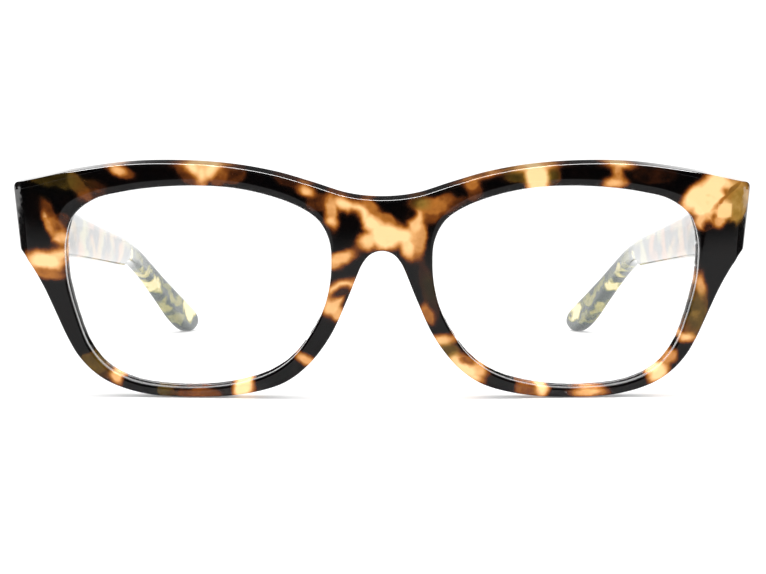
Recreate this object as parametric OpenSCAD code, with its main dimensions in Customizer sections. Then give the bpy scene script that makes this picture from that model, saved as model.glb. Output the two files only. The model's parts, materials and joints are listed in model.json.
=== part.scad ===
// Acetate optical glasses: a thick one-piece front with two clear lenses,
// two folding temples on seven-barrel hinges, bonded nose pads and wire cores.
// The glasses stand open on both rims and both temple tips.
// Millimetres. +Z up, the front faces -Y, the wearer's left side is +X.

/* [Front] */
// Lean of the front, top edge forwards (degrees)
lean = 9; // [6:0.5:12]
// Radius of the front's base curve seen from above
base_r = 490; // [400:10:700]
// Depth of the front at its lower rims
depth_low = 5; // [4.8:0.1:5.6]
// Extra depth of the front at the brow line
depth_gain = 1.6; // [0.8:0.1:2]

/* [Lenses] */
// Radius of the front surface of each lens
lens_r = 177; // [160:1:220]
// Thickness of each lens
lens_t = 2; // [1.6:0.1:2.2]
// How far the lens edge reaches into the rim groove
lens_bite = 0.5; // [0.4:0.05:0.7]

/* [Temples] */
// Downward slope of the temples (degrees)
temple_slope = 5; // [4:0.5:6]
// Outward splay of the temples (degrees)
temple_splay = 1.8; // [1:0.1:2.5]
// Thickness of the temple at the hinge
temple_t = 5.2; // [4.8:0.1:5.6]
// Half the width of the metal core wire
core_r = 0.5; // [0.4:0.05:0.55]

/* [Hinges] */
// Distance of each hinge pin from the middle plane
hinge_x = 64; // [63.8:0.1:64.4]
// Outer radius of the hinge barrels
barrel_r = 1.35; // [1.2:0.05:1.35]
// Height of one barrel
barrel_h = 1.05; // [0.95:0.05:1.05]
// Radius of the hinge screw
screw_r = 0.6; // [0.5:0.05:0.65]
// Radial running clearance of the screw in the temple barrels
run_fit = 0.06; // [0.04:0.01:0.1]

/* [Hidden] */

shell_c = [0.45, 0.27, 0.12];
pad_c = [0.62, 0.42, 0.22];
lens_c = [0.8, 0.9, 0.95, 0.4];
steel_c = [0.7, 0.7, 0.72];
brass_c = [0.78, 0.65, 0.4];

// Middle of the object from front to back, so that the origin sits under it.
mid_y = 68.94;
// Right half of the front's outline, from the brow centre to the end-piece.
brow = [[0, 39.55], [6.6, 40.2], [13.6, 42.35], [20.7, 44.35], [29, 45.75],
        [38.5, 46.35], [49, 46.05], [60, 44.5], [66.5, 43.1], [71.21, 42.08]];
// From under the end-piece round the rim and up to the top of the nose arch.
rim = [[71.07, 28.63], [69.8, 27.4], [68.4, 25.4], [66.4, 21.6], [64.7, 17.6],
       [62.2, 11.6], [59.8, 7.4], [56.2, 3.9], [51.5, 1.6], [45.5, 0.3],
       [38.5, 0], [31, 0.35], [24, 1.55], [18.6, 3.6], [13.9, 7.5], [9.9, 13.1],
       [6.8, 19.9], [5, 24.4], [3.75, 27.2], [2.15, 29.05], [0, 29.7]];
// Opening of one lens, in mm from the middle plane and the lower edge.
eye = [[61.5, 22], [61.85, 26.6], [61.6, 31.4], [59.9, 35.9], [55.5, 39.2],
       [50.2, 40.65], [44, 41.6], [36.5, 42.05], [29, 41.75], [22.2, 40.45],
       [16.2, 38.3], [12.2, 35.6], [10.1, 31.6], [9.75, 27], [10.2, 22.4],
       [11.5, 17.7], [14, 12.9], [17.2, 8.6], [21.6, 5.3], [27.5, 3.15],
       [35, 2], [43, 2], [49.5, 3.05], [54.6, 5.7], [58, 10], [60, 15.7]];
// Side view of a temple from its hinge pin: upper edge, tip and lower edge.
upper = [[-5, 6.7], [4, 6.4], [18, 5.2], [50, 4.3], [76, 3.75], [88, 3.35],
         [96, 2.5], [104, 0.9], [112, -2.2], [120, -6.6], [127, -10.6],
         [132.5, -13.6], [137.3, -16.6], [138.4, -19.6], [135.8, -21.9],
         [131.6, -21.7], [126, -18.6], [119, -12.9], [111, -7.4], [103, -4.2],
         [96, -2.75], [90.5, -2.9], [85.5, -4.4], [80, -4.6], [50, -4.85],
         [18, -5.1], [6, -5], [-5, -4.6]];
// Plan view of a temple: distance back, middle of the thickness, thickness.
plan = [[-5, 0.5, 1], [24, 0.3, 0.88], [58, 0.12, 0.83], [86, -0.2, 0.79],
        [97, -0.65, 0.77], [105, -1.75, 0.77], [112, -3.4, 0.77], [119, -5.9, 0.77],
        [126, -8.8, 0.77], [133, -11.7, 0.76], [140, -14.6, 0.72]];

face_x = barrel_r + 0.3;
butt = -1.75;
gap = 0.05;
pitch = barrel_h + 0.1;
stack = 7 * barrel_h + 0.6;
plate_t = 0.8;
plan_x = face_x + temple_t / 2 - 0.5;

function mix(a, b, c, d, t) = 0.5 * (2 * b + (c - a) * t + (2 * a - 5 * b + 4 * c - d) * t * t
    + (3 * b - a - 3 * c + d) * t * t * t);
// Smooth run through the knots k, shaped at its ends by the points given.
function run(k, n, before, after) = let (m = len(k))
    [for (i = [0:m - 2]) for (j = [0:n - 1])
        mix(i == 0 ? before : k[i - 1], k[i], k[i + 1], i == m - 2 ? after : k[i + 2], j / n)];
function beyond(a, b) = 2 * a - b;
function loop(k, n) = let (m = len(k))
    [for (i = [0:m - 1]) for (j = [0:n - 1])
        mix(k[(i + m - 1) % m], k[i], k[(i + 1) % m], k[(i + 2) % m], j / n)];
function arc(c, r, a, b, n) = [for (i = [0:n]) c + r * [cos(a + (b - a) * i / n),
    sin(a + (b - a) * i / n)]];
function tail(r) = [92, -40] + (40 + r) * [cos(56), sin(56)] + 15 * [sin(56), -cos(56)];
function flip(p) = [-p[0], p[1]];
// Moves every point of a closed counter-clockwise outline outwards by d.
function grow(p, d) = let (m = len(p)) [for (i = [0:m - 1])
    let (t = p[(i + 1) % m] - p[(i + m - 1) % m]) p[i] + d * [t[1], -t[0]] / norm(t)];

top = len(rim) - 1;
half = concat(run(brow, 5, flip(brow[1]), beyond(brow[9], brow[8])),
    arc([71, 41.1], 1, 77.6, -3.5, 5), arc([70.5, 29.2], 0.8, -3.5, -45, 3),
    run(rim, 5, [72, 29.6], flip(rim[top - 1])), [rim[top]]);
count = len(half);
outline = concat(half, [for (i = [count - 2:-1:1]) flip(half[i])]);
eye_out = loop(eye, 3);
side_out = let (m = len(upper) - 1)
    concat(run(upper, 4, beyond(upper[0], upper[1]), beyond(upper[m], upper[m - 1])), [upper[m]]);
function plan_side(s) = [for (p = run(plan, 4, beyond(plan[0], plan[1]), beyond(plan[10], plan[9])))
    [plan_x + p[1] + s * p[2] * temple_t / 2, p[0]]];
plan_out = let (a = plan_side(1), b = plan_side(-1), m = len(b))
    concat(a, [for (i = [m - 1:-1:0]) b[i]]);

// The leaning front is lowered until its rims touch the table.
rim_drop = min([for (p = outline) p[0] * p[0] / 2 / base_r * sin(lean) + p[1] * cos(lean)]);
// Angle between a temple and the line square to the front.
panto = lean + temple_slope;
// Height of a point of the temple's side view, counted from its hinge pin.
function rise(y, z) = let (a = y * cos(panto) + z * sin(panto), b = z * cos(panto) - y * sin(panto))
    (a * cos(temple_splay) + 10 * sin(temple_splay)) * sin(lean) + b * cos(lean);
// The pin stands behind the end-piece, as high as the resting tips put it.
pin_y = hinge_x * hinge_x / 2 / base_r + depth_low + depth_gain + 2.37;
pin_v = (rim_drop - min([for (p = side_out) rise(p[0], p[1])]) - pin_y * sin(lean)) / cos(lean);

module place_front() {
    translate([0, -mid_y, -rim_drop]) rotate([lean, 0, 0]) children();
}
// Hinge axes: x outwards, z along the pin, y away from the front.
module at_hinge() {
    translate([hinge_x, pin_y, pin_v]) rotate([0, 0, -temple_splay]) children();
}
module place_hinge() { place_front() at_hinge() children(); }
// Temple axes: y along the temple, z square to it.
module along_temple() { rotate([-panto, 0, 0]) children(); }
module upright(points, y0, y1) {
    translate([0, y1, 0]) rotate([90, 0, 0]) linear_extrude(y1 - y0) polygon(points);
}
module right_hand() { mirror([1, 0, 0]) children(); }
module both_hands() { children(); right_hand() children(); }

// Everything behind the rear face of the rims.
module rear_space() {
    taper = atan(depth_gain / 46);
    translate([0, depth_low, 0]) rotate([-taper, 0, 0]) translate([0, base_r - depth_low, -30])
        cylinder(r = base_r - depth_low, h = 120, $fn = 900);
}
module end_space() {
    at_hinge() translate([-3, butt, -60]) cube([60, 60, 120]);
}
module lens_ball(r) {
    a = asin(36 / base_r);
    translate([36 - lens_r * sin(a), 36 * 36 / 2 / base_r + 0.3 + lens_r * cos(a), 21.5])
        sphere(r = r, $fn = 720);
}
module lens_shell(edge, slack) {
    intersection() {
        upright(grow(eye_out, edge), -2, 16);
        difference() {
            lens_ball(lens_r + slack);
            lens_ball(lens_r - lens_t - slack);
        }
    }
}
// Sunk part of the front leaf: a block with a tongue that reaches forwards.
module anchor() {
    translate([-0.8, -4.3, -4]) cube([4.2, 4.3 + butt, 8]);
    translate([0.8, -5.1, 1.3]) cube([2.6, 1, 2.6]);
}
module front_frame() color(shell_c) place_front() difference() {
    intersection() {
        upright(outline, -2, 26);
        translate([0, base_r, -10]) cylinder(r = base_r, h = 80, $fn = 900);
    }
    intersection() {
        rear_space();
        union() {
            linear_extrude(70) polygon([[-60, -5], [60, -5], [60, 8.6], [64, 12.6],
                [64, 60], [-64, 60], [-64, 12.6], [-60, 8.6]]);
            translate([-80, -5, -5]) cube([160, 65, 32]);
        }
    }
    both_hands() {
        end_space();
        upright(eye_out, -4, 30);
        lens_shell(lens_bite + 0.1, 0.05);
        at_hinge() anchor();
        // Bevelled side of the end-piece.
        translate([69.5, 4.92, 37]) rotate([0, 1.4, 0]) rotate([0, 0, -43])
            translate([0, -10, -15]) cube([12, 20, 30]);
    }
}
module nose_pad() color(pad_c) place_front() intersection() {
    rear_space();
    translate([8.35, 5, 16.2]) rotate([0, -26, 0]) rotate([0, 0, -16])
        translate([0.2, 0, 0]) rotate([90, 0, 90]) linear_extrude(2.2)
            polygon([for (i = [0:40]) let (a = 180 * i / 40)
                [-2 + 6.6 * pow(sin(a), 0.8), -7 * cos(a)]]);
}
module lens() color(lens_c) place_front() lens_shell(lens_bite, 0);

module temple() color(shell_c) place_hinge() difference() {
    along_temple() difference() {
        intersection() {
            translate([-30, 0, 0]) rotate([90, 0, 90]) linear_extrude(60) polygon(side_out);
            translate([0, 0, -40]) linear_extrude(80) polygon(plan_out);
        }
        core_path(8.75);
        leaf_plate();
        rivet_pair();
    }
    translate([-10, -10, -20]) cube([30, 10 + butt + gap, 40]);
}
// Flat wire in the plane of the temple's bend: straight, curved, straight.
module core_path(y0) {
    bar = [[y0, -core_r], each arc([92, -40], 40 - core_r, 90, 56, 8),
           tail(-core_r), tail(core_r), each arc([92, -40], 40 + core_r, 56, 90, 8),
           [y0, core_r]];
    translate([plan_x, 0, 0]) rotate([0, 35, 0]) translate([-core_r, 0, 0])
        rotate([90, 0, 90]) linear_extrude(2 * core_r) polygon(bar);
}
module core_wire() color(steel_c) place_hinge() along_temple() core_path(9.4);

module leaf_plate() {
    translate([face_x, -0.9, -2.8]) cube([plate_t, 9.4, 5.6]);
    translate([face_x, 8.5, 0]) rotate([0, 90, 0]) cylinder(r = 2.8, h = plate_t, $fn = 48);
}
module barrel(i, hole) {
    translate([0, 0, -stack / 2 + i * pitch]) difference() {
        children();
        translate([0, 0, -1]) cylinder(r = hole, h = barrel_h + 2, $fn = 48);
    }
}
module front_leaf() color(steel_c) place_hinge() {
    anchor();
    for (i = [0, 2, 4, 6]) barrel(i, screw_r + 0.02) {
        union() {
            cylinder(r = barrel_r, h = barrel_h, $fn = 64);
            translate([-0.8, butt - 0.4, 0]) cube([1.6, 0.4 - butt, barrel_h]);
        }
    }
}
module temple_leaf() color(steel_c) place_hinge() difference() {
    union() {
        along_temple() leaf_plate();
        for (i = [1, 3, 5]) barrel(i, screw_r + run_fit) {
            union() {
                cylinder(r = barrel_r, h = barrel_h, $fn = 64);
                translate([0, -0.8, 0]) cube([face_x, 1.6, barrel_h]);
            }
        }
    }
    along_temple() rivet_pair();
}
module hinge_screw() color(steel_c) place_hinge() {
    difference() {
        union() {
            translate([0, 0, -stack / 2]) cylinder(r = screw_r, h = stack, $fn = 48);
            translate([0, 0, stack / 2]) cylinder(r = 1.1, h = 0.55, $fn = 48);
        }
        translate([-2, -0.15, stack / 2 + 0.3]) cube([4, 0.3, 1]);
    }
}
module rivet_pair() {
    for (y = [4, 8.6]) translate([0, y, 0]) rotate([0, 90, 0]) {
        translate([0, 0, face_x]) cylinder(r = 0.75, h = temple_t - 0.2, $fn = 40);
        translate([0, 0, face_x + temple_t - 0.65]) cylinder(r = 1.15, h = 0.75, $fn = 48);
    }
}
module rivets() color(brass_c) place_hinge() along_temple() rivet_pair();

front_frame();
nose_pad();  // nose_pad_left
right_hand() nose_pad();  // nose_pad_right
lens();  // lens_left
right_hand() lens();  // lens_right
temple();  // temple_left
right_hand() temple();  // temple_right
core_wire();  // core_wire_left
right_hand() core_wire();  // core_wire_right
front_leaf();  // hinge_front_leaf_left
right_hand() front_leaf();  // hinge_front_leaf_right
temple_leaf();  // hinge_temple_leaf_left
right_hand() temple_leaf();  // hinge_temple_leaf_right
hinge_screw();  // hinge_screw_left
right_hand() hinge_screw();  // hinge_screw_right
rivets();  // temple_rivets_left
right_hand() rivets();  // temple_rivets_right
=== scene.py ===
import json
import math

import bmesh
import bpy
import numpy as np
from mathutils import Matrix, Vector
from mathutils.geometry import delaunay_2d_cdt


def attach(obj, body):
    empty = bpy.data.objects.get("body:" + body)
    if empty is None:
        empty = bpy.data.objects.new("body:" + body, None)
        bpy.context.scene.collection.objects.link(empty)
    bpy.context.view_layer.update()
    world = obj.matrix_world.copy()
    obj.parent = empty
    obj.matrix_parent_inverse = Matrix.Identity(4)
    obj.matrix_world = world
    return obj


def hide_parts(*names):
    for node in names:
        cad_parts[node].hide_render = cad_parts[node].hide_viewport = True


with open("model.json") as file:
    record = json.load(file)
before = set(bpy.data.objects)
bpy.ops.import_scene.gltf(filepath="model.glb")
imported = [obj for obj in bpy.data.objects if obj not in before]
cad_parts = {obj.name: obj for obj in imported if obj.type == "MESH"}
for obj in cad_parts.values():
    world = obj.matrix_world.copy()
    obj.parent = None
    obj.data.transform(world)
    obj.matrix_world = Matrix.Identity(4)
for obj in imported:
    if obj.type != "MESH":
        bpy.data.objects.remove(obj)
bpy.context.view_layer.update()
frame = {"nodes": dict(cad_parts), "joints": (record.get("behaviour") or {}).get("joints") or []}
scene = bpy.context.scene

# ---------------------------------------------------------------- shape data
# Millimetres. The front is drawn in its own plane: u across, v up from the lower edge, y back.
# Lean of the front, spread of the temples, and the temples' slope against the front.
LEAN = math.radians(9)
SPLAY = math.radians(1.8)
PANTO = math.radians(14)
# The front's bend, its thickness at the lower edge, and what it gains over its height.
BASE_R = 490.0
DEPTH_LOW = 5.0
DEPTH_GAIN = 1.6
FRONT_HEIGHT = 46
MID_Y = 68.94
# Lenses: radius, thickness, depth in the groove, middle of one lens, distance behind the face.
LENS_R = 177.0
LENS_T = 2.0
LENS_BITE = 0.5
LENS_MIDDLE = (36, 21.5)
LENS_BEHIND = 0.3
GROOVE_SLACK = 0.03
GROOVE_DEEPER = 0.1
# Hinge pin: across, and behind the rear face. The temple's end lies BUTT back from the pin.
HINGE_X = 64.0
PIN_BEHIND = 2.37
BUTT = -1.75
# Temple: thickness at the hinge, and where its inner face and its middle lie.
TEMPLE_T = 5.2
FACE_X = 1.65
PLAN_X = FACE_X + TEMPLE_T / 2 - 0.5
# Metal block in the end-piece and leaf in the temple. The acetate is sunk a little over both.
BLOCK_IN, BLOCK_OUT, BLOCK_HALF, BLOCK_SINK = 0.8, 3.4, 4, 0.06
LEAF_END, LEAF_HALF, LEAF_SINK = 11.2, 2.8, 0.08
# Slanted side of the end-piece: a point on it, its slope, its tilt and how its start is eased.
BEVEL_U, BEVEL_Y, BEVEL_V = 69.5, 4.92, 37
BEVEL_RISE = math.tan(math.radians(47))
BEVEL_TILT = math.tan(math.radians(1.4))
BEVEL_EASE = 0.12
CREASE_V, CREASE_STEP = (26, 44, 0.5), 0.16
# Where the pad that the temple butts on rises from the rear face.
STAND_U, STAND_V = (62.2, 62.9), (26.8, 27.3)
# Width and height of the front's edges: the plain rounding and what the bevels add to it.
EDGE_WIDTH, EDGE_HEIGHT, EYE_HEIGHT = 0.34, 0.34, 0.3
TOP_WIDER, TOP_HIGHER = 0.75, 0.4
TOP_U, TOP_V = (50, 68), (41, 42.2)
BROW_WIDER, BROW_HIGHER = 0.85, 0.4
BROW_V = (28, 37)
NASAL_LESS, NASAL_U = 0.35, (-18, -11)
CORNER_WIDER, CORNER_HIGHER = 0.95, 0.35
CORNER_U, CORNER_REACH, CORNER_V = 60, 3.2, (29, 35)
REAR_ROUND = 0.45
# Nose pad: place, turns about Y and Z, half length, width, root, edge radius and thickness.
PAD_PLACE = (8.35, 5, 16.2)
PAD_TURN_Y, PAD_TURN_Z = math.radians(-26), math.radians(-16)
PAD_HALF, PAD_WIDTH, PAD_BACK = 7, 5.4, -0.8
PAD_ROUND, PAD_DEPTH = 0.95, 2.4
# Steps between two knots of a curve, and the spacing of points along edges and across faces.
STEPS = 12
FRONT_EDGE, FRONT_FACE = 0.45, 1.1
LENS_EDGE, LENS_MESH = 0.8, 2.2
PAD_EDGE, PAD_MESH = 0.3, 0.7
TEMPLE_EDGE, TEMPLE_MESH = 0.5, 1.0
# Turns a point of the front into its mirror image.
MIRRORED = np.array((-1, 1))

# Right half of the front's outline, from the brow centre to the end-piece.
BROW = [(0, 39.55), (6.6, 40.2), (13.6, 42.35), (20.7, 44.35), (29, 45.75),
        (38.5, 46.35), (49, 46.05), (60, 44.5), (66.5, 43.1), (71.21, 42.08)]
# Corners of the end-piece: centre, radius, and the angles at which the arc starts and ends.
TOP_CORNER = ((71, 41.1), 1, 77.6, -3.5)
LOW_CORNER = ((70.5, 29.2), 0.8, -3.5, -45)
# From under the end-piece round the rim and up to the top of the nose arch.
BEFORE_RIM = (72, 29.6)
RIM = [(71.07, 28.63), (69.8, 27.4), (68.4, 25.4), (66.4, 21.6), (64.7, 17.6),
       (62.2, 11.6), (59.8, 7.4), (56.2, 3.9), (51.5, 1.6), (45.5, 0.3),
       (38.5, 0), (31, 0.35), (24, 1.55), (18.6, 3.6), (13.9, 7.5), (9.9, 13.1),
       (6.8, 19.9), (5, 24.4), (3.75, 27.2), (2.15, 29.05), (0, 29.7)]
# Opening of one lens.
EYE = [(61.5, 22), (61.85, 26.6), (61.6, 31.4), (59.9, 35.9), (55.5, 39.2),
       (50.2, 40.65), (44, 41.6), (36.5, 42.05), (29, 41.75), (22.2, 40.45),
       (16.2, 38.3), (12.2, 35.6), (10.1, 31.6), (9.75, 27), (10.2, 22.4),
       (11.5, 17.7), (14, 12.9), (17.2, 8.6), (21.6, 5.3), (27.5, 3.15),
       (35, 2), (43, 2), (49.5, 3.05), (54.6, 5.7), (58, 10), (60, 15.7)]
# A temple seen from the side, from its hinge pin: y back along it, z up.
UPPER = [(-5, 6.7), (4, 6.4), (18, 5.2), (50, 4.3), (76, 3.75), (88, 3.35),
         (96, 2.5), (104, 0.9), (112, -2.2), (120, -6.6), (127, -10.6),
         (132.5, -13.6), (137.3, -16.6), (138.4, -19.6), (135.8, -21.9),
         (131.6, -21.7), (126, -18.6), (119, -12.9), (111, -7.4), (103, -4.2),
         (96, -2.75), (90.5, -2.9), (85.5, -4.4), (80, -4.6), (50, -4.85),
         (18, -5.1), (6, -5), (-5, -4.6)]
# Plan of a temple: distance back, middle of the thickness, share of TEMPLE_T.
PLAN = [(-5, 0.5, 1), (24, 0.3, 0.88), (58, 0.12, 0.83), (86, -0.2, 0.79),
        (97, -0.65, 0.77), (105, -1.75, 0.77), (112, -3.4, 0.77), (119, -5.9, 0.77),
        (126, -8.8, 0.77), (133, -11.7, 0.76), (140, -14.6, 0.72)]


# ---------------------------------------------------------------- curves
def mix(a, b, c, d, t):
    """Catmull-Rom point between b and c."""
    return 0.5 * (2 * b + (c - a) * t + (2 * a - 5 * b + 4 * c - d) * t * t
                  + (3 * b - a - 3 * c + d) * t ** 3)


def run(knots, steps, before, after):
    """Open smooth run through the knots, without its last point."""
    k = [np.array(p, float) for p in [before, *knots, after]]
    return [mix(*k[i:i + 4], j / steps) for i in range(len(k) - 3) for j in range(steps)]


def loop(knots, steps):
    """Closed smooth curve through the knots."""
    k = [np.array(p, float) for p in knots]
    n = len(k)
    return np.array([mix(k[i - 1], k[i], k[(i + 1) % n], k[(i + 2) % n], j / steps)
                     for i in range(n) for j in range(steps)])


def arc(centre, radius, start, end, steps):
    turn = np.radians(np.linspace(start, end, steps + 1))
    return list(np.array(centre) + radius * np.column_stack([np.cos(turn), np.sin(turn)]))


def beyond(a, b):
    """The point as far past a as b lies before it."""
    return 2 * np.array(a, float) - np.array(b, float)


def lengths(line):
    """Distance along the line to each of its points."""
    return np.concatenate([[0], np.cumsum(np.linalg.norm(np.diff(line, axis=0), axis=1))])


def at_lengths(line, where):
    """The points that lie at the given distances along the line."""
    return np.column_stack([np.interp(where, lengths(line), line[:, i]) for i in (0, 1)])


def even(points, step):
    """The closed loop with points at equal distances of about step."""
    closed = np.vstack([points, points[:1]])
    total = lengths(closed)[-1]
    return at_lengths(closed, np.linspace(0, total, max(int(total / step), 12) + 1)[:-1])


def outward(points):
    """Unit normals that point out of a counter-clockwise loop."""
    t = np.roll(points, -1, 0) - np.roll(points, 1, 0)
    n = np.column_stack([t[:, 1], -t[:, 0]])
    return n / np.linalg.norm(n, axis=1)[:, None]


def counter_clockwise(points):
    x, y = points[:, 0], points[:, 1]
    area = np.sum(x * np.roll(y, -1) - y * np.roll(x, -1))
    return points if area > 0 else points[::-1]


def inside(points, polygon):
    a, b = polygon, np.roll(polygon, -1, 0)
    x, y = points[:, :1], points[:, 1:]
    crosses = (a[:, 1] > y) != (b[:, 1] > y)
    with np.errstate(divide="ignore", invalid="ignore"):
        at = a[:, 0] + (y - a[:, 1]) / (b[:, 1] - a[:, 1]) * (b[:, 0] - a[:, 0])
    return (crosses & (x < at)).sum(1) % 2 == 1


def between(points, outer, holes):
    """Which points lie inside the outer loop and outside its holes."""
    keep = inside(points, outer)
    for hole in holes:
        keep &= ~inside(points, hole)
    return keep


def distance(points, line, closed=True):
    """Distance from each point to the nearest stretch of the line."""
    best = np.full(len(points), np.inf)
    for p, q in zip(line, np.roll(line, -1, 0) if closed else line[1:]):
        d = q - p
        t = np.clip(((points - p) @ d) / max(d @ d, 1e-12), 0, 1)
        best = np.minimum(best, np.linalg.norm(points - p - t[:, None] * d, axis=1))
    return best


def smoothstep(x, low, high):
    t = np.clip((x - low) / (high - low), 0, 1)
    return t * t * (3 - 2 * t)


def window(x, low, high, ease):
    """1 from low to high, fading to 0 over ease on either side."""
    return smoothstep(x, low - ease, low) * smoothstep(-x, -high - ease, -high)


def smooth_max(a, b, width):
    h = np.clip(0.5 + 0.5 * (a - b) / width, 0, 1)
    return b + (a - b) * h + width * h * (1 - h)


def hump(x, centre, reach):
    return np.exp(-((x - centre) / reach) ** 2)


# ---------------------------------------------------------------- placing
pin = Vector(frame["joints"][0]["pos_m"]) * 1000
pin_y = HINGE_X ** 2 / 2 / BASE_R + DEPTH_LOW + DEPTH_GAIN + PIN_BEHIND
front_half = (run(BROW, STEPS, MIRRORED * BROW[1], beyond(BROW[-1], BROW[-2]))
              + arc(*TOP_CORNER, 8) + arc(*LOW_CORNER, 6)
              + run(RIM, STEPS, BEFORE_RIM, MIRRORED * RIM[-2]) + [np.array(RIM[-1])])
front_out = np.array(front_half + [p * MIRRORED for p in front_half[-2:0:-1]])
rim_drop = min(front_out[:, 0] ** 2 / 2 / BASE_R * math.sin(LEAN)
               + front_out[:, 1] * math.cos(LEAN))
pin_v = (pin.z + rim_drop - pin_y * math.sin(LEAN)) / math.cos(LEAN)
FRONT = (Matrix.Scale(0.001, 4) @ Matrix.Translation((0, -MID_Y, -rim_drop))
         @ Matrix.Rotation(LEAN, 4, "X"))
HINGE = FRONT @ Matrix.Translation((HINGE_X, pin_y, pin_v)) @ Matrix.Rotation(-SPLAY, 4, "Z")
TEMPLE = HINGE @ Matrix.Rotation(-PANTO, 4, "X")
MIRROR = Matrix.Diagonal((-1, 1, 1, 1))


# ---------------------------------------------------------------- meshes
# Inner points keep this share of their spacing from a crease and from an edge.
CLEAR_OF_CREASE = 0.45
CLEAR_OF_EDGE, WIDEST_SPACING = 0.4, 0.9


class Builder:
    """Points and faces of one mesh."""

    def __init__(self):
        self.points = []
        self.faces = []

    def add(self, points):
        start = len(self.points)
        self.points.extend(map(tuple, points))
        return list(range(start, len(self.points)))

    def bridge(self, one, two):
        n = len(one)
        for i in range(n):
            j = (i + 1) % n
            self.faces.append((one[i], one[j], two[j], two[i]))

    def fill(self, loops, loop_ids, depth, axes, spacing, creases=()):
        """Triangles between the loops, with inner points on the surface depth(a, b)."""
        outer, *holes = loops
        low, high = outer.min(0), outer.max(0)
        a = np.arange(low[0], high[0], spacing)
        b = np.arange(low[1], high[1], spacing)
        grid = np.array([(p + (spacing / 2 if i % 2 else 0), q)
                         for i, q in enumerate(b) for p in a])
        for line in creases:
            grid = grid[distance(grid, line, closed=False) > CLEAR_OF_CREASE * spacing]
        grid = np.vstack([grid, *creases])
        grid = grid[between(grid, outer, holes)]
        gap = np.min([distance(grid, p) for p in loops], axis=0)
        grid = grid[gap > CLEAR_OF_EDGE * min(spacing, WIDEST_SPACING)]
        flat = np.vstack([*loops, grid])
        edges, start = [], 0
        for p in loops:
            edges += [(start + i, start + (i + 1) % len(p)) for i in range(len(p))]
            start += len(p)
        ids = [i for each in loop_ids for i in each] + self.add(axes(grid, depth(grid)))
        _, _, found, sources, _, _ = delaunay_2d_cdt([Vector(p) for p in flat], edges, [], 0, 1e-7)
        source = [s[0] if s else -1 for s in sources]
        triangles = [[source[i] for i in t] for t in found]
        middle = np.array([flat[t].mean(0) for t in triangles])
        for t, kept in zip(triangles, between(middle, outer, holes)):
            if kept:
                self.faces.append(tuple(ids[i] for i in t))


# Ends of a bevel are eased over this share of its width, up to this many millimetres.
EASE_SHARE, EASE_MOST = 0.42, 0.3


def chamfer(width, height, steps=4):
    """(inset, depth) points of a bevel with eased ends, from the face to the wall."""
    ease = np.minimum(EASE_SHARE * width, EASE_MOST)
    share = ease / np.hypot(width, height)
    points = []
    for t in np.linspace(0, 1, steps):
        a = (1 - t) ** 2 * (width + ease) + 2 * t * (1 - t) * width + t * t * width * (1 - share)
        points.append((a, t * t * share * height))
    for t in np.linspace(0, 1, steps):
        a = (1 - t) ** 2 * width * share
        d = (1 - t) ** 2 * height * (1 - share) + 2 * t * (1 - t) * height + t * t * (height + ease)
        points.append((a, d))
    return points


def rounding(radius, steps=7):
    """(inset, depth) points of a quarter round, from the face to the wall."""
    turns = np.linspace(0, math.pi / 2, steps)
    return [(radius * (1 - math.sin(t)), radius * (1 - math.cos(t))) for t in turns]


def slab(name, loops, near, far, rings_near, rings_far, axes, place, body, spacing, grooves=None,
         creases=()):
    """A closed plate between two surfaces, with shaped edges round each of its loops.

    rings_near and rings_far give, for each loop, the (inset, depth) steps of its edge."""
    made = Builder()
    near_loops, near_ids, far_loops, far_ids = [], [], [], []
    for k, points in enumerate(loops):
        inward = outward(points) * (-1 if k == 0 else 1)
        rings = []
        for inset, depth in rings_near[k]:
            p = points + inward * np.reshape(inset, (-1, 1))
            rings.append((p, near(p) + depth))
        for inset, depth in grooves[k] if grooves else []:
            rings.append((points + inward * inset, depth(points)))
        for inset, depth in reversed(rings_far[k]):
            p = points + inward * np.reshape(inset, (-1, 1))
            rings.append((p, far(p) - depth))
        ids = [made.add(axes(p, d)) for p, d in rings]
        for one, two in zip(ids[:-1], ids[1:]):
            made.bridge(one, two)
        near_loops.append(rings[0][0])
        near_ids.append(ids[0])
        far_loops.append(rings[-1][0])
        far_ids.append(ids[-1])
    made.fill(near_loops, near_ids, near, axes, spacing, creases)
    made.fill(far_loops, far_ids, far, axes, spacing)
    return mesh(name, made, place, body)


def mesh(name, made, place, body):
    data = bpy.data.meshes.new(name)
    data.from_pydata([place @ Vector(p) for p in made.points], [], made.faces)
    data.validate()
    piece = bpy.data.objects.new(name, data)
    scene.collection.objects.link(piece)
    shade_smoothly(piece)
    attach(piece, body)
    return piece


def shade_smoothly(piece):
    """Makes all faces look outwards and shades them smoothly by their areas."""
    work = bmesh.new()
    work.from_mesh(piece.data)
    bmesh.ops.remove_doubles(work, verts=work.verts, dist=1e-7)
    bmesh.ops.recalc_face_normals(work, faces=work.faces)
    work.to_mesh(piece.data)
    work.free()
    for face in piece.data.polygons:
        face.use_smooth = True
    weigh = piece.modifiers.new("weigh", "WEIGHTED_NORMAL")
    weigh.mode = "FACE_AREA"
    weigh.weight = 50


# ---------------------------------------------------------------- front
def face_y(p):
    return BASE_R - np.sqrt(BASE_R ** 2 - p[:, 0] ** 2)


def bevel_start(v):
    """How far across the slanted side of the end-piece starts."""
    return BEVEL_U + (v - BEVEL_V) * BEVEL_TILT


def front_near(p):
    side = BEVEL_Y + (np.abs(p[:, 0]) - bevel_start(p[:, 1])) * BEVEL_RISE
    return smooth_max(face_y(p), side, BEVEL_EASE)


def rear_y(p):
    return (DEPTH_LOW + p[:, 0] ** 2 / 2 / (BASE_R - DEPTH_LOW)
            + p[:, 1] * DEPTH_GAIN / FRONT_HEIGHT)


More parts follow.
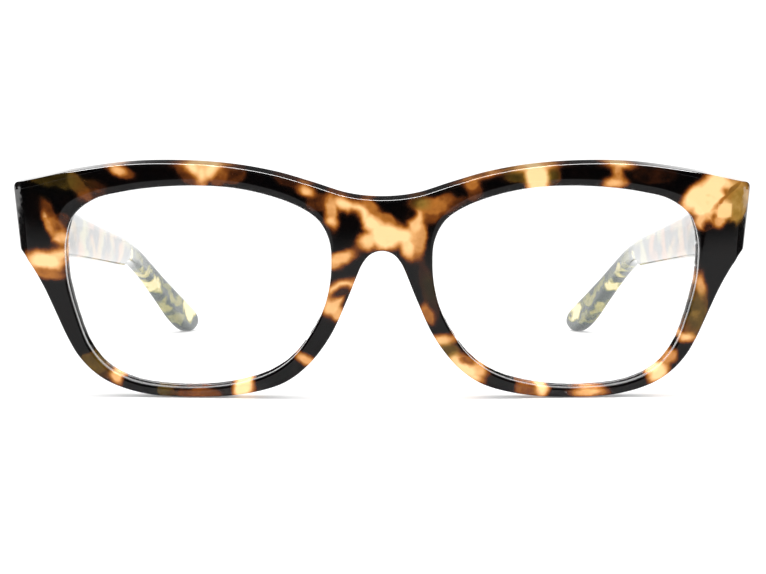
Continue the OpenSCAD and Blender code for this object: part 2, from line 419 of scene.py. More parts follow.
def front_far(p):
    """Rear face of the rims, and behind each end-piece the pad that the temple butts on."""
    u, v = np.abs(p[:, 0]), p[:, 1]
    pad = pin_y + BUTT + (HINGE_X - u) * math.sin(SPLAY)
    stand = smoothstep(u, *STAND_U) * smoothstep(v, *STAND_V)
    block = (window(u, HINGE_X - BLOCK_IN, HINGE_X + BLOCK_OUT, 0.2)
             * window(v, pin_v - BLOCK_HALF, pin_v + BLOCK_HALF, 0.2))
    return rear_y(p) + (pad - rear_y(p)) * stand - BLOCK_SINK * block


def lens_face(radius):
    """One face of a lens. Both faces share the centre of the front face's sphere."""
    u, v = LENS_MIDDLE
    turn = math.asin(u / BASE_R)
    centre_u = u - LENS_R * math.sin(turn)
    centre_y = u ** 2 / 2 / BASE_R + LENS_BEHIND + LENS_R * math.cos(turn)

    def face(p):
        across, up = np.abs(p[:, 0]) - centre_u, p[:, 1] - v
        return centre_y - np.sqrt(radius ** 2 - across ** 2 - up ** 2)
    return face


def front_axes(p, y):
    return np.column_stack([p[:, 0], y, p[:, 1]])


def outer_edge(points):
    """Small rounding everywhere, growing to a bevel along the top of each end-piece."""
    u, v = np.abs(points[:, 0]), points[:, 1]
    top = smoothstep(u, *TOP_U) * smoothstep(v, *TOP_V)
    return EDGE_WIDTH + TOP_WIDER * top, EDGE_HEIGHT + TOP_HIGHER * top


def eye_edge(points):
    """The wide polished bevel over each opening, which fades out towards nose and cheek."""
    u, v = np.abs(points[:, 0]), points[:, 1]
    brow = smoothstep(v, *BROW_V) * (1 - NASAL_LESS * smoothstep(-u, *NASAL_U))
    corner = hump(u, CORNER_U, CORNER_REACH) * smoothstep(v, *CORNER_V)
    return (EDGE_WIDTH + BROW_WIDER * brow + CORNER_WIDER * corner,
            EYE_HEIGHT + BROW_HIGHER * brow + CORNER_HIGHER * corner)


def crease(side, shift):
    """A row of points beside the line where an end-piece's slanted side starts."""
    v = np.arange(*CREASE_V)
    return np.column_stack([side * (bevel_start(v) + shift), v])


def front_piece():
    outer = counter_clockwise(even(front_out, FRONT_EDGE))
    eye = counter_clockwise(even(loop(EYE, STEPS), FRONT_EDGE))
    eyes = [eye, (eye * MIRRORED)[::-1]]
    near = [chamfer(*outer_edge(outer))] + [chamfer(*eye_edge(p)) for p in eyes]
    far = [chamfer(REAR_ROUND, REAR_ROUND)] * 3
    first, last = lens_face(LENS_R + GROOVE_SLACK), lens_face(LENS_R - LENS_T - GROOVE_SLACK)
    deep = LENS_BITE + GROOVE_DEEPER
    groove = [(0, first), (deep, first), (deep, last), (0, last)]
    creases = [crease(side, shift) for side in (1, -1) for shift in (-CREASE_STEP, 0, CREASE_STEP)]
    return slab("front_acetate", [outer, *eyes], front_near, front_far, near, far, front_axes, FRONT,
                "front", FRONT_FACE, [[], groove, groove], creases)


# ---------------------------------------------------------------- lenses
def lens_piece(side, label):
    eye = counter_clockwise(even(loop(EYE, STEPS), LENS_EDGE))
    rim = eye + outward(eye) * LENS_BITE
    if side < 0:
        rim = (rim * MIRRORED)[::-1]
    edge = [chamfer(0.15, 0.15, 2)]
    return slab("lens_" + label, [rim], lens_face(LENS_R), lens_face(LENS_R - LENS_T), edge, edge,
                front_axes, FRONT, "front", LENS_MESH)


# ---------------------------------------------------------------- nose pads
def thick_axes(p, x):
    return np.column_stack([x, p[:, 0], p[:, 1]])


def pad_crown(p):
    """The pad's gently hollowed inner face."""
    return 0.2 + 0.05 * ((p[:, 0] - 2) ** 2 / 4 + 4 * (p[:, 1] / PAD_HALF) ** 2)


def pad_piece(side, label):
    turn = np.radians(np.arange(0, 180.1, 3))
    shape = np.column_stack([PAD_BACK + PAD_WIDTH * np.sin(turn) ** 0.8, -PAD_HALF * np.cos(turn)])
    shape = counter_clockwise(even(shape, PAD_EDGE))
    place = (FRONT @ Matrix.Translation(PAD_PLACE) @ Matrix.Rotation(PAD_TURN_Y, 4, "Y")
             @ Matrix.Rotation(PAD_TURN_Z, 4, "Z"))
    if side < 0:
        place = MIRROR @ place
    edge = [rounding(np.full(len(shape), PAD_ROUND))]
    return slab("nose_pad_" + label, [shape], pad_crown, lambda p: PAD_DEPTH + 0 * p[:, 0],
                edge, edge, thick_axes, place, "front", PAD_MESH)


# ---------------------------------------------------------------- temples
def back_from_butt(p):
    """Distance behind the plane where the temple meets the end-piece."""
    return p[:, 0] * math.cos(PANTO) + p[:, 1] * math.sin(PANTO) - BUTT - 0.05


def cut(line, behind):
    """Where the line first passes from in front of the butt plane to behind it."""
    i = np.argmax((behind[:-1] <= 0) & (behind[1:] > 0))
    share = behind[i] / (behind[i] - behind[i + 1])
    return line[i] + share * (line[i + 1] - line[i])


def temple_outline(step):
    """Side view of a temple, closed by a straight line where it meets the end-piece."""
    ends = beyond(UPPER[0], UPPER[1]), beyond(UPPER[-1], UPPER[-2])
    shape = np.array(run(UPPER, STEPS, *ends) + [np.array(UPPER[-1])])
    behind = back_from_butt(shape)
    first, last = cut(shape, behind), cut(shape[::-1], behind[::-1])
    line = np.vstack([first, shape[behind > 0], last])
    total = lengths(line)[-1]
    line = at_lengths(line, np.linspace(0, total, int(total / step)))
    share = np.linspace(0, 1, 18)[1:-1, None]
    return counter_clockwise(np.vstack([line, last + (first - last) * share]))


def temple_faces():
    """x of the inner and outer faces as functions of (y, z)."""
    knots = np.array(run(PLAN, 8, beyond(PLAN[0], PLAN[1]), beyond(PLAN[-1], PLAN[-2])))

    def face(side, p):
        x = PLAN_X + knots[:, 1] + side * knots[:, 2] * TEMPLE_T / 2
        return np.interp(p[:, 0], knots[:, 0], x)

    def inner(p):
        leaf = (smoothstep(-p[:, 0], -LEAF_END - 0.4, -LEAF_END)
                * smoothstep(-np.abs(p[:, 1]), -LEAF_HALF - 0.3, -LEAF_HALF))
        return face(-1, p) + LEAF_SINK * leaf
    return inner, lambda p: face(1, p)


def temple_piece(side, label):
    outline = temple_outline(TEMPLE_EDGE)
    edge = [rounding(0.25 + 1.15 * smoothstep(back_from_butt(outline), 0.2, 5))]
    place = TEMPLE if side > 0 else MIRROR @ TEMPLE
    return slab("temple_acetate_" + label, [outline], *temple_faces(), edge, edge, thick_axes,
                place, label + "_arm", TEMPLE_MESH)


# ---------------------------------------------------------------- materials
class Nodes:
    """Short calls that add shader nodes to one material or world."""

    def __init__(self, owner):
        owner.use_nodes = True
        self.owner = owner
        self.tree = owner.node_tree
        self.shader = self.tree.nodes.get("Principled BSDF") or self.tree.nodes["Background"]

    def add(self, kind, **settings):
        node = self.tree.nodes.new("ShaderNode" + kind)
        for key, value in settings.items():
            setattr(node, key, value)
        return node

    def feed(self, socket, value):
        if isinstance(value, bpy.types.NodeSocket):
            self.tree.links.new(value, socket)
        else:
            socket.default_value = value

    def feed_all(self, node, *values):
        for socket, value in zip(node.inputs, values):
            self.feed(socket, value)

    def put(self, **values):
        """Feeds the shader's own sockets, named with underscores for spaces."""
        for name, value in values.items():
            self.feed(self.shader.inputs[name.replace("_", " ")], value)

    def math(self, operation, *values, clamp=False):
        node = self.add("Math", operation=operation, use_clamp=clamp)
        self.feed_all(node, *values)
        return node.outputs[0]

    def vector(self, operation, *values):
        node = self.add("VectorMath", operation=operation)
        self.feed_all(node, *values)
        return node.outputs["Value" if operation == "LENGTH" else "Vector"]

    def scaled(self, vector, factor):
        node = self.add("VectorMath", operation="SCALE")
        self.feed(node.inputs[0], vector)
        self.feed(node.inputs["Scale"], factor)
        return node.outputs["Vector"]

    def parts(self, vector):
        node = self.add("SeparateXYZ")
        self.feed(node.inputs[0], vector)
        return node.outputs

    def mapping(self, vector, kind, location=(0, 0, 0), rotation=(0, 0, 0), scale=(1, 1, 1)):
        node = self.add("Mapping", vector_type=kind)
        self.feed_all(node, vector, location, rotation, scale)
        return node.outputs[0]

    def noise(self, vector, scale, detail=2.0, rough=0.5, output="Fac"):
        node = self.add("TexNoise")
        self.feed(node.inputs["Vector"], vector)
        node.inputs["Scale"].default_value = scale
        node.inputs["Detail"].default_value = detail
        node.inputs["Roughness"].default_value = rough
        return node.outputs[output]

    def ramp(self, value, stops):
        node = self.add("ValToRGB")
        self.feed(node.inputs[0], value)
        band = node.color_ramp
        while len(band.elements) < len(stops):
            band.elements.new(0.5)
        for element, (at, colour) in zip(band.elements, stops):
            element.position = at
            element.color = (*colour, 1)
        return node.outputs[0]

    def blend(self, share, a, b):
        node = self.add("Mix", data_type="RGBA")
        self.feed(node.inputs[0], share)
        self.feed(node.inputs[6], a)
        self.feed(node.inputs[7], b)
        return node.outputs[2]

    def rescale(self, value, low, high, new_low, new_high, curve="LINEAR"):
        node = self.add("MapRange", clamp=True, interpolation_type=curve)
        self.feed_all(node, value, low, high, new_low, new_high)
        return node.outputs[0]

    def bumps(self, height, strength, distance):
        node = self.add("Bump")
        node.inputs["Strength"].default_value = strength
        node.inputs["Distance"].default_value = distance
        self.feed(node.inputs["Height"], height)
        self.put(Normal=node.outputs[0])

    def local(self, place, mirrored=False):
        """This material's own millimetres: the space in which its part is drawn."""
        back = place.inverted()
        scale = (-1000 if mirrored else 1000, 1000, 1000)
        where = self.add("TexCoord").outputs["Object"]
        return self.mapping(where, "POINT", back.translation, back.to_euler(), scale)


# Patches of the front: across, up, half length, half width, turn in degrees, lightness.
FRONT_LIGHT = [
    # left end-piece and cheek
    (-62.2, 42.9, 4.4, 0.7, -8, 0.3), (-58.3, 41.8, 2.0, 0.8, -48, 0.4),
    (-56, 39.9, 1.2, 0.6, 15, 0.3), (-64.4, 36.4, 1.4, 0.6, 112, 0.38), (-64.6, 34.2, 1.6, 0.5, 112, 0.6),
    (-63.1, 33.4, 2.0, 1.1, 112, 0.5), (-62.4, 30.4, 1.5, 2.0, 0, 0.8), (-62.2, 35, 1, 1, 0, 0.3),
    (-65.8, 27.1, 4.0, 1.8, -3, 1.0), (-63.2, 28.2, 2.0, 1.2, 0, 0.9), (-66, 24.9, 2.8, 1.0, -8, 0.56),
    (-57, 6.4, 2.2, 1.8, 0, 0.42), (-52.6, 3.9, 1.1, 1.3, 30, 0.8), (-55.3, 4.6, 1.2, 1, 0, 0.32),
    (-42.6, 1.5, 1.2, 1.0, 0, 0.36), (-36, 0.9, 2.4, 0.7, 0, 0.42),
    (-27.3, 2.4, 2.1, 2.4, -12, 1.0), (-15.1, 8.2, 1.9, 0.9, -32, 0.76),
    # left brow
    (-50.2, 45.1, 1.5, 0.8, -20, 0.8), (-51.8, 46.2, 1.6, 0.4, 4, 0.75),
    (-48.9, 44.5, 1.0, 0.5, -20, 0.4),
    (-34, 46.5, 4.2, 1.1, 0, 1.0), (-36, 45.4, 2.0, 1.1, -35, 1.0), (-32.8, 45.2, 2.4, 1.2, 42, 1.0),
    (-34.5, 44.4, 1.0, 1.7, 0, 0.97), (-34.7, 42.6, 0.6, 0.6, 0, 0.5), (-37.4, 44.3, 1.1, 0.6, -50, 0.36),
    (-34.4, 48.4, 4.6, 1.3, 0, 1.0),
    (-31, 43.8, 1.4, 1.0, 40, 0.42), (-28.6, 44.4, 1.8, 1.4, 0, 0.34),
    (-14.4, 41.5, 1.4, 0.8, -18, 0.8), (-12.2, 39.3, 1.5, 1.2, 0, 0.34),
    (-9.6, 37.6, 0.9, 2.4, 3, 0.72), (-9.8, 35.5, 1.0, 0.8, 20, 0.86), (-17.5, 43.5, 2, 0.8, -20, 0.3),
    # left nose leg
    (-8, 28.3, 2.6, 1.1, 24, 0.8), (-9.2, 27.2, 1.2, 1, 0, 0.7), (-7.8, 22.9, 3.4, 1.0, 16, 0.92),
    (-9.5, 19.6, 1.7, 2.7, -28, 0.84), (-8.6, 17.6, 1.2, 1.3, 0, 0.76),
    # bridge
    (-7.2, 38.7, 2.2, 1.15, -25, 0.97), (-4.3, 37.1, 2.5, 1.5, -34, 1.0), (-1.7, 35, 2.5, 1.6, -45, 1.0),
    (0.9, 32.8, 3.5, 2.3, -10, 1.0), (-2.4, 31.8, 2.2, 1.3, 22, 0.9), (0.9, 31.3, 2.4, 1.2, -10, 0.97),
    (4, 32.6, 2.4, 1.6, -12, 1.0), (4.9, 30.7, 1.4, 2.4, 15, 0.93), (6.4, 35.1, 1.3, 2.7, -22, 0.84),
    (7, 32.6, 1.2, 3.4, 0, 0.68), (-2.3, 38.4, 1.5, 0.8, -28, 0.58), (0.9, 36, 1.6, 0.6, -30, 0.55),
    (9.6, 38.4, 2.3, 1.2, -8, 0.53), (8.6, 37, 1.6, 1.2, 0, 0.42), (11.6, 39.2, 1.5, 0.9, 20, 0.5),
    (7, 39.2, 1.2, 0.8, 0, 0.36), (12.4, 37.9, 2.2, 0.5, 28, 0.32),
    # right nose leg and lower rim
    (9.2, 21.4, 0.9, 3.2, 12, 0.28), (8.7, 17.4, 0.9, 1.5, 25, 0.56), (12, 12.3, 2.0, 0.9, 8, 0.84),
    (12.8, 10.1, 2, 1.2, -40, 0.44), (16.6, 6.5, 3.0, 1.6, -38, 1.0), (14.6, 7.9, 1.6, 1.3, -40, 0.9),
    (18.8, 6.2, 1.8, 1.0, -30, 0.8), (18.2, 4.7, 1.7, 1.0, -30, 0.97),
    (31.3, 2.3, 1.25, 2.2, 0, 0.97), (28.3, 2.6, 1.9, 1.7, 0, 0.48), (40.8, 1.0, 2.4, 0.8, 0, 0.78),
    (54.6, 4.8, 2.2, 1.7, 60, 1.0), (56.8, 7.6, 1.2, 0.8, 45, 0.64), (60, 11.8, 1.7, 0.9, -12, 0.9),
    (61.4, 14.6, 2.0, 1.4, 60, 0.42), (62.3, 18.3, 1.2, 2.4, 10, 0.42), (62.3, 22.2, 0.8, 2.0, 8, 0.68),
    # right brow and end-piece
    (17.1, 42.6, 1.0, 0.7, 0, 0.55), (17.6, 41.2, 0.8, 1.0, 0, 0.36), (25.6, 43.8, 1.2, 0.5, 0, 0.37),
    (29.4, 43.7, 2.3, 3.6, 12, 1.0), (28.6, 45.9, 4.2, 0.9, 5, 1.0), (22.4, 45.6, 4.4, 0.8, 14, 0.92),
    (27.8, 48, 4.4, 1.4, 6, 1.0),
    (17.2, 44.2, 2.2, 0.6, 20, 0.8), (32.6, 44, 0.8, 1.0, 0, 0.33),
    (45.3, 46.5, 2.4, 1.0, -4, 0.95), (45, 44.7, 0.7, 1.3, 15, 0.66), (44.3, 42.5, 1.6, 0.8, 5, 0.8),
    (52, 44.3, 2.6, 1.2, -5, 0.22),
    (60.6, 39.6, 3.4, 2.2, 41, 1.0), (63.9, 41.9, 3.4, 2.0, 38, 1.0), (62.4, 37.9, 2.6, 2.4, 0, 1.0),
    (66.2, 42, 2.2, 1.0, -15, 0.94), (64.6, 39.2, 1.8, 2.2, 0, 0.97), (69, 38.9, 2.4, 4.1, 0, 0.62),
    (65.9, 37, 1.8, 1.8, 0, 0.84), (62.4, 35, 1.4, 1.6, 0, 0.8), (65.2, 34.8, 1.0, 0.9, 30, 0.72),
]
# Dark marks over them.
FRONT_DARK = [
    (67.4, 40.7, 2.2, 0.22, 50, 0.45), (-7.7, 21.6, 1.7, 0.7, 18, 0.72), (16.9, 8, 0.7, 0.4, -20, 0.5),
    (-5.7, 34.6, 1.9, 2.4, 10, 0.97), (4.6, 36.9, 1.6, 1.3, 14, 0.8), (-66.6, 30, 3, 0.7, 0, 0.9),
    (9.6, 33, 0.9, 2.6, 0, 0.8), (44.9, 43.7, 1.4, 0.3, 0, 0.35), (63.2, 33.4, 0.6, 0.9, 0, 0.75),
    (67.6, 33, 1.8, 1.8, 0, 0.95), (2.5, 38.9, 2.4, 0.8, 6, 0.9),
]
# Where the front turns from red-brown to olive, without a lightness.
FRONT_COOL = [
    (-63, 42.6, 7, 3, 0), (-57.5, 6.2, 4, 3.5, 0), (-43.5, 1.6, 3, 3, 0), (62, 16.5, 3, 5, 10),
    (69.6, 38, 3.2, 6, 0), (12.8, 10, 2.5, 2, 0), (25.4, 43.8, 2.5, 1.4, 0), (7.4, 39, 2, 1.4, 0),
    (32.4, 44, 1.5, 1.5, 0), (9.2, 22.5, 1.6, 3, 10),
]
# On a temple: back from the hinge, up, half length, half width, turn in degrees, lightness.
TEMPLE_LIGHT = [
    (1, 4.4, 4, 1.4, 10, 0.5), (-1, -2.6, 3, 1.4, 0, 0.44), (8, -0.6, 4.2, 2.0, 50, 0.82),
    (13, -3.6, 3.0, 1.0, 0, 0.5), (18, 3.4, 5, 1.4, -10, 0.72), (22, 0.6, 2.4, 1.2, -60, 0.5),
    (29, -1, 5.4, 2.4, 55, 0.95), (32, -3.4, 3.4, 1.2, 0, 0.8), (37, 3, 4, 1.0, 10, 0.55),
    (42, -2.6, 4.4, 1.1, -20, 0.66), (50.5, 0.4, 5.6, 2.2, 65, 0.97), (54, 2.6, 3.4, 1.4, -10, 0.8),
    (61, -3.4, 4.4, 1.2, 12, 0.52), (65, 1.6, 4.6, 1.8, -35, 0.88), (69, 3.4, 3.4, 1.0, 0, 0.6),
    (76, -2.2, 3.6, 1.8, 30, 0.97), (80, 0.6, 4.2, 2.2, 60, 0.95), (87, 2.0, 3.4, 1.0, 0, 0.55),
    (93, -1.2, 2.6, 1.2, 35, 0.84), (101, -1.5, 2.6, 0.9, -25, 0.5),
    (107.5, -4.6, 2.0, 0.9, -10, 0.7), (113.6, -8.4, 2.8, 1.5, -50, 0.88),
    (119.4, -9.4, 2.8, 1.0, -38, 0.5), (125, -12.4, 2.6, 1.0, -30, 0.55),
    (121.5, -15, 1.8, 0.7, -38, 0.6), (131.8, -16.2, 3.6, 2.6, -45, 1.0),
    (127.2, -18, 1.8, 0.7, -38, 0.5),
]
# Dark marks over them.
TEMPLE_DARK = [
    (24.5, -0.6, 1.6, 0.6, 10, 0.6), (54, 3, 1.3, 0.5, -30, 0.5), (72, -3.4, 1.5, 0.6, 30, 0.6),
    (91, 2.3, 1.2, 0.5, 0, 0.5), (136.6, -20.6, 2.4, 1.0, 20, 0.85),
]

# The acetate's colours from its darkest to its lightest places.
WARM = [(0, (0.0008, 0.0006, 0.0008)), (0.2, (0.005, 0.002, 0.0012)), (0.32, (0.036, 0.009, 0.0025)),
        (0.46, (0.16, 0.042, 0.006)), (0.6, (0.40, 0.14, 0.022)), (0.78, (0.74, 0.37, 0.13)),
        (0.98, (0.92, 0.63, 0.30))]
OLIVE = [(0, (0.0008, 0.0009, 0.0009)), (0.2, (0.005, 0.0035, 0.001)), (0.32, (0.028, 0.017, 0.003)),
         (0.46, (0.10, 0.055, 0.008)), (0.6, (0.28, 0.15, 0.025)), (0.78, (0.58, 0.36, 0.12)),
         (0.98, (0.90, 0.66, 0.30))]
TEAL = [(0, (0.012, 0.026, 0.026)), (0.28, (0.035, 0.055, 0.045)), (0.44, (0.12, 0.13, 0.055)),
        (0.6, (0.34, 0.31, 0.1)), (0.78, (0.68, 0.58, 0.26)), (0.98, (0.90, 0.76, 0.42))]

# A patch is lightest in its middle and falls to RIM_TONE at its rim. It is flattened at its own
# lightness, runs into its neighbours, and goes through the whole thickness of the acetate.
SOFT_EDGE = 2.0
NARROWEST = 0.55
RIM_TONE = 0.62
CAP_EASE, JOIN_EASE = 0.15, 0.4
PATCH_Y, PATCH_REACH = 3, 13
# Scale and detail of the broad and the fine noise, and how many millimetres each bends the patterns.
BENDING_NOISE = ((0.22, 1.0), (0.8, 1.5))
FRONT_BEND = (1.6, 0.5)
TEMPLE_BEND = (6.5, 1.8)
# Strength of the fine grain, the least lightness, and the roughness of the polished surface.
GRAIN, DARKEST = 0.22, 0.02
POLISH = (0.05, 0.13)
# Through a temple from its inner face outwards: the most lightness inside, and how much greener.
THROUGH, INNER_MOST, INNER_GREEN = (3, 5), 0.62, 0.13
# Towards the tip the inner face gets its full lightness, and all of the temple turns green.
TIP_LIGHT_Y, TIP_GREEN_Y, TIP_GREEN = (74, 92), (68, 96), (-0.1, 0.25)
GREEN_FROM = (0.48, 0.64)
# Rectangle in which the sunk hinge block shows through.
ANCHOR_U, ANCHOR_V = 66.4, 36.9
ANCHOR_HALF_U, ANCHOR_HALF_V = 1.4, 1.35
ANCHOR_COLOUR = (0.93, 0.58, 0.25, 1)
# The front is divided across into three zones, each with the patches that lie in or near it.
ZONES = (-90, -22, 22, 90)
ZONE_OVERLAP = 9


def front_spot(g, where, across, up, long, wide, turn):
    """Place within a patch of the front, at distance 1 on the patch's rim."""
    return g.mapping(where, "TEXTURE", (across, PATCH_Y, up), (0, -math.radians(turn), 0),
                     (long, PATCH_REACH, wide))


def temple_spot(g, where, back, up, long, wide, turn):
    """Place within a patch of a temple, at distance 1 on the patch's rim."""
    x = PLAN_X + np.interp(back, [k[0] for k in PLAN], [k[1] for k in PLAN])
    return g.mapping(where, "TEXTURE", (x, back, up), (math.radians(turn), 0, 0),
                     (PATCH_REACH, long, wide))


def patches(g, where, listed, spot):
    """Lightness that the listed patches give to each place."""
    best = None
    for *shape, tone in listed:
        fade = max(min(shape[2:4]), NARROWEST) / SOFT_EDGE
        far = g.vector("LENGTH", spot(g, where, *shape))
        value = g.math("MULTIPLY_ADD", far, -fade, fade + RIM_TONE)
        value = g.math("SMOOTH_MIN", value, tone, CAP_EASE)
        best = value if best is None else g.math("SMOOTH_MAX", best, value, JOIN_EASE)
    return best


def lightness(g, moved, bright, dark):
    """The patches less the dark marks over them, with a fine grain."""
    tone = g.math("MINIMUM", bright, g.math("SUBTRACT", 1.0, g.math("MAXIMUM", dark, 0.0)))
    grain = g.math("SUBTRACT", g.noise(moved, 0.5, 3.0, 0.55), 0.5)
    return g.math("MULTIPLY_ADD", grain, GRAIN, g.math("MAXIMUM", tone, DARKEST), clamp=True)


def acetate(name, place, mirrored, shift, bend, coat, colouring):
    """Polished acetate. colouring gives its colour from a place, the place moved by shift for
    noise, and the place bent by noise."""
    g = Nodes(bpy.data.materials.new(name))
    base = g.local(place, mirrored)
    moved = g.vector("ADD", base, shift)
    where = base
    for (scale, detail), amount in zip(BENDING_NOISE, bend):
        push = g.vector("SUBTRACT", g.noise(moved, scale, detail, output="Color"), (0.5, 0.5, 0.5))
        where = g.vector("ADD", where, g.scaled(push, amount))
    polish = g.rescale(g.noise(moved, 2.3, 4.0, 0.65), 0.3, 0.7, *POLISH)
    g.put(Base_Color=colouring(g, base, moved, where), Roughness=polish)
    g.bumps(g.noise(moved, 0.9, 2.0), 0.06, 0.00003)
    g.put(IOR=1.47, Coat_Weight=coat, Coat_Roughness=0.03)
    return g.owner


def front_shell(name, light, dark, cool):
    def colouring(g, base, moved, where):
        tone = lightness(g, moved, patches(g, where, light, front_spot),
                         patches(g, where, dark, front_spot))
        colour = g.blend(cool_share(g, where, cool), g.ramp(tone, WARM), g.ramp(tone, OLIVE))
        return g.blend(anchor_share(g, base, tone), colour, ANCHOR_COLOUR)
    return acetate(name, FRONT, False, (0, 0, 0), FRONT_BEND, 0.15, colouring)


def temple_shell(side, label):
    """Warm beside the hinge and green at the tip, duller and greener on the inner face."""
    def colouring(g, base, moved, where):
        tone = lightness(g, moved, patches(g, where, TEMPLE_LIGHT, temple_spot),
                         patches(g, where, TEMPLE_DARK, temple_spot))
        parts = g.parts(base)
        most = g.math("MAXIMUM", g.rescale(parts["X"], *THROUGH, INNER_MOST, 1.0),
                      g.rescale(parts["Y"], *TIP_LIGHT_Y, 0.0, 1.0))
        green = g.math("ADD", g.rescale(parts["Y"], *TIP_GREEN_Y, *TIP_GREEN),
                       g.rescale(parts["X"], *THROUGH, INNER_GREEN, 0.0))
        hue = g.rescale(g.math("ADD", g.noise(moved, 0.085, 1.0), green), *GREEN_FROM, 0.0, 1.0)
        tone = g.math("MINIMUM", tone, most)
        return g.blend(hue, g.ramp(tone, WARM), g.ramp(tone, TEAL))
    shift = (0, 0, 0) if side > 0 else (7, 31, 5)
    return acetate("tortoise_temple_" + label, TEMPLE, side < 0, shift, TEMPLE_BEND, 1.0, colouring)


def cool_share(g, where, listed):
    """1 inside the listed patches and 0 well outside them."""
    nearest = None
    for shape in listed:
        far = g.vector("LENGTH", front_spot(g, where, *shape))
        nearest = far if nearest is None else g.math("MINIMUM", nearest, far)
    return g.rescale(nearest, 0.5, 1.3, 1.0, 0.0)


def off_middle(g, value, middle, half):
    """How far a value lies from the middle, as a share of half the width."""
    return g.math("DIVIDE", g.math("ABSOLUTE", g.math("SUBTRACT", value, middle)), half)


def anchor_share(g, base, tone):
    """The sunk hinge block, which shows as a paler rectangle where the acetate is light."""
    parts = g.parts(base)
    across = off_middle(g, g.math("ABSOLUTE", parts["X"]), ANCHOR_U, ANCHOR_HALF_U)
    far = g.math("MAXIMUM", across, off_middle(g, parts["Z"], ANCHOR_V, ANCHOR_HALF_V))
    seen = g.rescale(far, 0.9, 1.06, 1.0, 0.0)
    return g.math("MULTIPLY", seen, g.rescale(tone, 0.5, 0.72, 0.0, 0.75))


def clear_glass():
    """Glass that casts no shadow, so that the glasses stand in soft light."""
    g = Nodes(bpy.data.materials.new("clear_lens"))
    where = g.local(FRONT)
    tint = g.ramp(g.noise(where, 0.05, 1.0), [(0.3, (0.985, 0.99, 0.99)), (0.7, (0.995, 0.995, 0.995))])
    smear = g.rescale(g.noise(where, 0.6, 3.0), 0.4, 0.8, 0.0, 0.012)
    g.put(Base_Color=tint, Roughness=smear, Transmission_Weight=1.0, IOR=1.5)
    choose = g.add("MixShader")
    g.feed_all(choose, g.add("LightPath").outputs["Is Shadow Ray"], g.shader.outputs[0],
               g.add("BsdfTransparent").outputs[0])
    g.feed(g.tree.nodes["Material Output"].inputs["Surface"], choose.outputs[0])
    return g.owner


def metal(name, colour, rough, fineness):
    """Brushed steel. fineness says how close its scratches lie along x, y and z."""
    g = Nodes(bpy.data.materials.new(name))
    where = g.mapping(g.local(FRONT), "POINT", scale=fineness)
    grain = g.noise(where, 1.6, 5.0, 0.7)
    dull = tuple(0.72 * c for c in colour)
    g.put(Base_Color=g.ramp(grain, [(0.3, dull), (0.7, colour)]), Metallic=1.0,
          Roughness=g.rescale(grain, 0.3, 0.7, rough * 0.7, rough * 1.4))
    g.bumps(grain, 0.15, 0.00002)
    return g.owner


def paint(piece, material):
    piece.data.materials.clear()
    piece.data.materials.append(material)


def paint_in_zones(piece):
    """Gives the front one material for each zone. They agree where they meet."""
    piece.data.materials.clear()
    shells = []
    for low, high in zip(ZONES[:-1], ZONES[1:]):
        near = [[p for p in listed if low - ZONE_OVERLAP < p[0] < high + ZONE_OVERLAP]
                for listed in (FRONT_LIGHT, FRONT_DARK, FRONT_COOL)]
        shells.append(front_shell(f"tortoise_front_{len(shells)}", *near))
        piece.data.materials.append(shells[-1])
    for face in piece.data.polygons:
        face.material_index = sum(face.center.x * 1000 > limit for limit in ZONES[1:3])
    return shells


# ---------------------------------------------------------------- the object
front_acetate = front_piece()
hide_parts("front_frame")
shells = paint_in_zones(front_acetate)

glass = clear_glass()
steel = metal("satin_steel", (0.72, 0.72, 0.73), 0.28, (1, 6, 1))
bright_steel = metal("bright_steel", (0.8, 0.8, 0.8), 0.14, (3, 3, 3))
wire_steel = metal("wire_steel", (0.66, 0.66, 0.67), 0.35, (6, 0.6, 6))
for side, label in ((1, "left"), (-1, "right")):
    lens = lens_piece(side, label)
    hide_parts("lens_" + label)
    paint(lens, glass)
    pad = pad_piece(side, label)
    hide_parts("nose_pad_" + label)
    paint(pad, shells[1])
    temple = temple_piece(side, label)
    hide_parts("temple_" + label)
    paint(temple, temple_shell(side, label))
    for node, finish in (("core_wire_", wire_steel), ("hinge_front_leaf_", steel),
                         ("hinge_temple_leaf_", steel), ("hinge_screw_", bright_steel),
                         ("temple_rivets_", bright_steel)):
        paint(frame["nodes"][node + label], finish)


# ---------------------------------------------------------------- studio
# Metres. The painted shade of the floor seen only in reflections turns black past these distances beside
# and in front.
GREY_BESIDE, GREY_IN_FRONT = 0.17, 0.15


def plane(name, x, y, z):
    """A flat piece of the studio, and the nodes of its material."""
    corners = [(x[0], y[0], z), (x[1], y[0], z), (x[1], y[1], z), (x[0], y[1], z)]
    data = bpy.data.meshes.new(name)
    data.from_pydata(corners, [], [(0, 1, 2, 3)])
    piece = bpy.data.objects.new(name, data)
    scene.collection.objects.link(piece)
    g = Nodes(bpy.data.materials.new(name))
    g.put(Roughness=0.9, Specular_IOR_Level=0.1)
    paint(piece, g.owner)
    return piece, g


def grey(value):
    return value, value, value, 1


def only_in_reflections(piece):
    piece.visible_camera = False
    piece.visible_diffuse = False
    piece.visible_transmission = False
    piece.visible_shadow = False


def painted_shade_below(g):
    """Painted shade for the floor seen in reflections: grey under the glasses, turning to black in front
    of and beside them.
    """
    parts = g.parts(g.add("TexCoord").outputs["Object"])
    beside, in_front = g.math("ABSOLUTE", parts["X"]), g.math("MULTIPLY", parts["Y"], -1.0)
    fades = [g.rescale(far, limit - 0.012, limit + 0.02, 1.0, 0.0, "SMOOTHSTEP")
             for far, limit in ((beside, GREY_BESIDE), (in_front, GREY_IN_FRONT))]
    return g.ramp(g.math("MULTIPLY", *fades), [(0, grey(0.004)[:3]), (1, grey(0.4)[:3])])


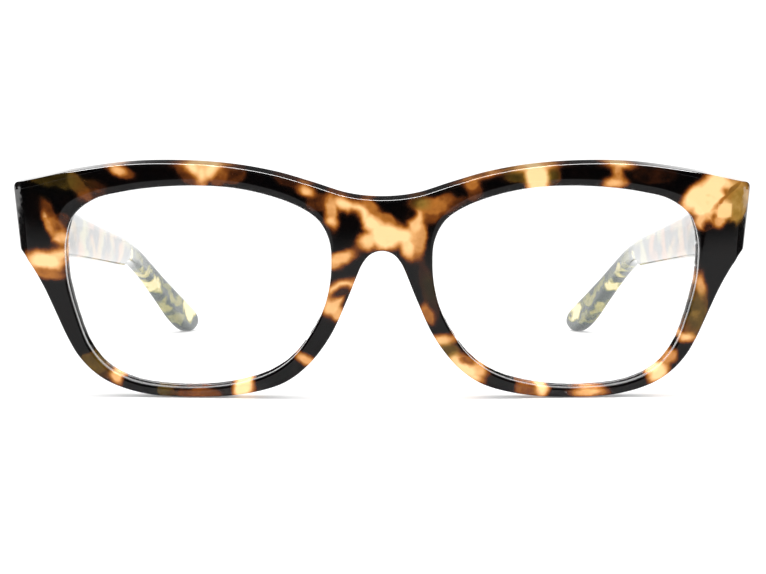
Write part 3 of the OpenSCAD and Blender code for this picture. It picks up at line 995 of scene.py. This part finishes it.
def lamp(name, place, aim, size, power):
    data = bpy.data.lights.new(name, "AREA")
    data.shape = "RECTANGLE"
    data.size, data.size_y = size
    data.energy = power
    light = bpy.data.objects.new(name, data)
    light.location = place
    light.rotation_euler = (Vector(aim) - Vector(place)).to_track_quat("-Z", "Y").to_euler()
    scene.collection.objects.link(light)


def studio_world():
    """White to the eye, a low bright backdrop behind a dark room in the reflections."""
    g = Nodes(bpy.data.worlds.new("studio"))
    parts = g.parts(g.add("TexCoord").outputs["Generated"])
    low = g.rescale(parts["Z"], 0.17, 0.26, 1.4, 0.04, "SMOOTHSTEP")
    behind = g.rescale(parts["Y"], 0.0, 0.35, 0.03, 1.0, "SMOOTHSTEP")
    path = g.add("LightPath").outputs
    choose = g.add("Mix")
    g.feed(choose.inputs[0], g.math("SUBTRACT", path["Is Glossy Ray"], path["Is Transmission Ray"],
                                    clamp=True))
    g.feed(choose.inputs[2], 1.2)
    g.feed(choose.inputs[3], g.math("MULTIPLY", low, behind))
    g.put(Color=grey(1), Strength=choose.outputs[0])
    scene.world = g.owner


_, g = plane("table", (-2.5, 2.5), (-2.5, 2.5), -0.00005)
g.put(Base_Color=grey(0.94), Emission_Color=grey(1), Emission_Strength=0.2)
# A sheet seen only in reflections, with painted shade: grey under the glasses and black farther out,
# standing in for the dim table and dark room that the acetate mirrors.
floor, g = plane("floor_with_painted_shade_in_reflections", (-0.8, 0.8), (-0.8, 0.05), 0.0004)
g.put(Base_Color=painted_shade_below(g))
only_in_reflections(floor)
strip, g = plane("strip", (-0.4, 0.4), (-0.1, 0.1), 0.6)
g.put(Base_Color=grey(1), Emission_Color=grey(1), Emission_Strength=30)
only_in_reflections(strip)
lamp("overhead", (0, 0.02, 0.75), (0, 0, 0), (0.9, 0.5), 1.3)
studio_world()
scene.view_settings.view_transform = "Standard"

# ---------------------------------------------------------------- camera
# Sensor width and focal length in millimetres, place in metres, and the angle it looks down at.
SENSOR_WIDTH, FOCAL_LENGTH = 36, 60.956
CAMERA_PLACE = (0.0002, -0.3219, 0.0376)
LOOKS_DOWN = math.radians(3.53)
data = bpy.data.cameras.new("camera")
data.sensor_width = SENSOR_WIDTH
data.lens = FOCAL_LENGTH
data.clip_start = 0.01
camera = bpy.data.objects.new("camera", data)
camera.location = CAMERA_PLACE
camera.rotation_euler = (math.radians(90) - LOOKS_DOWN, 0, 0)
scene.collection.objects.link(camera)
scene.camera = camera
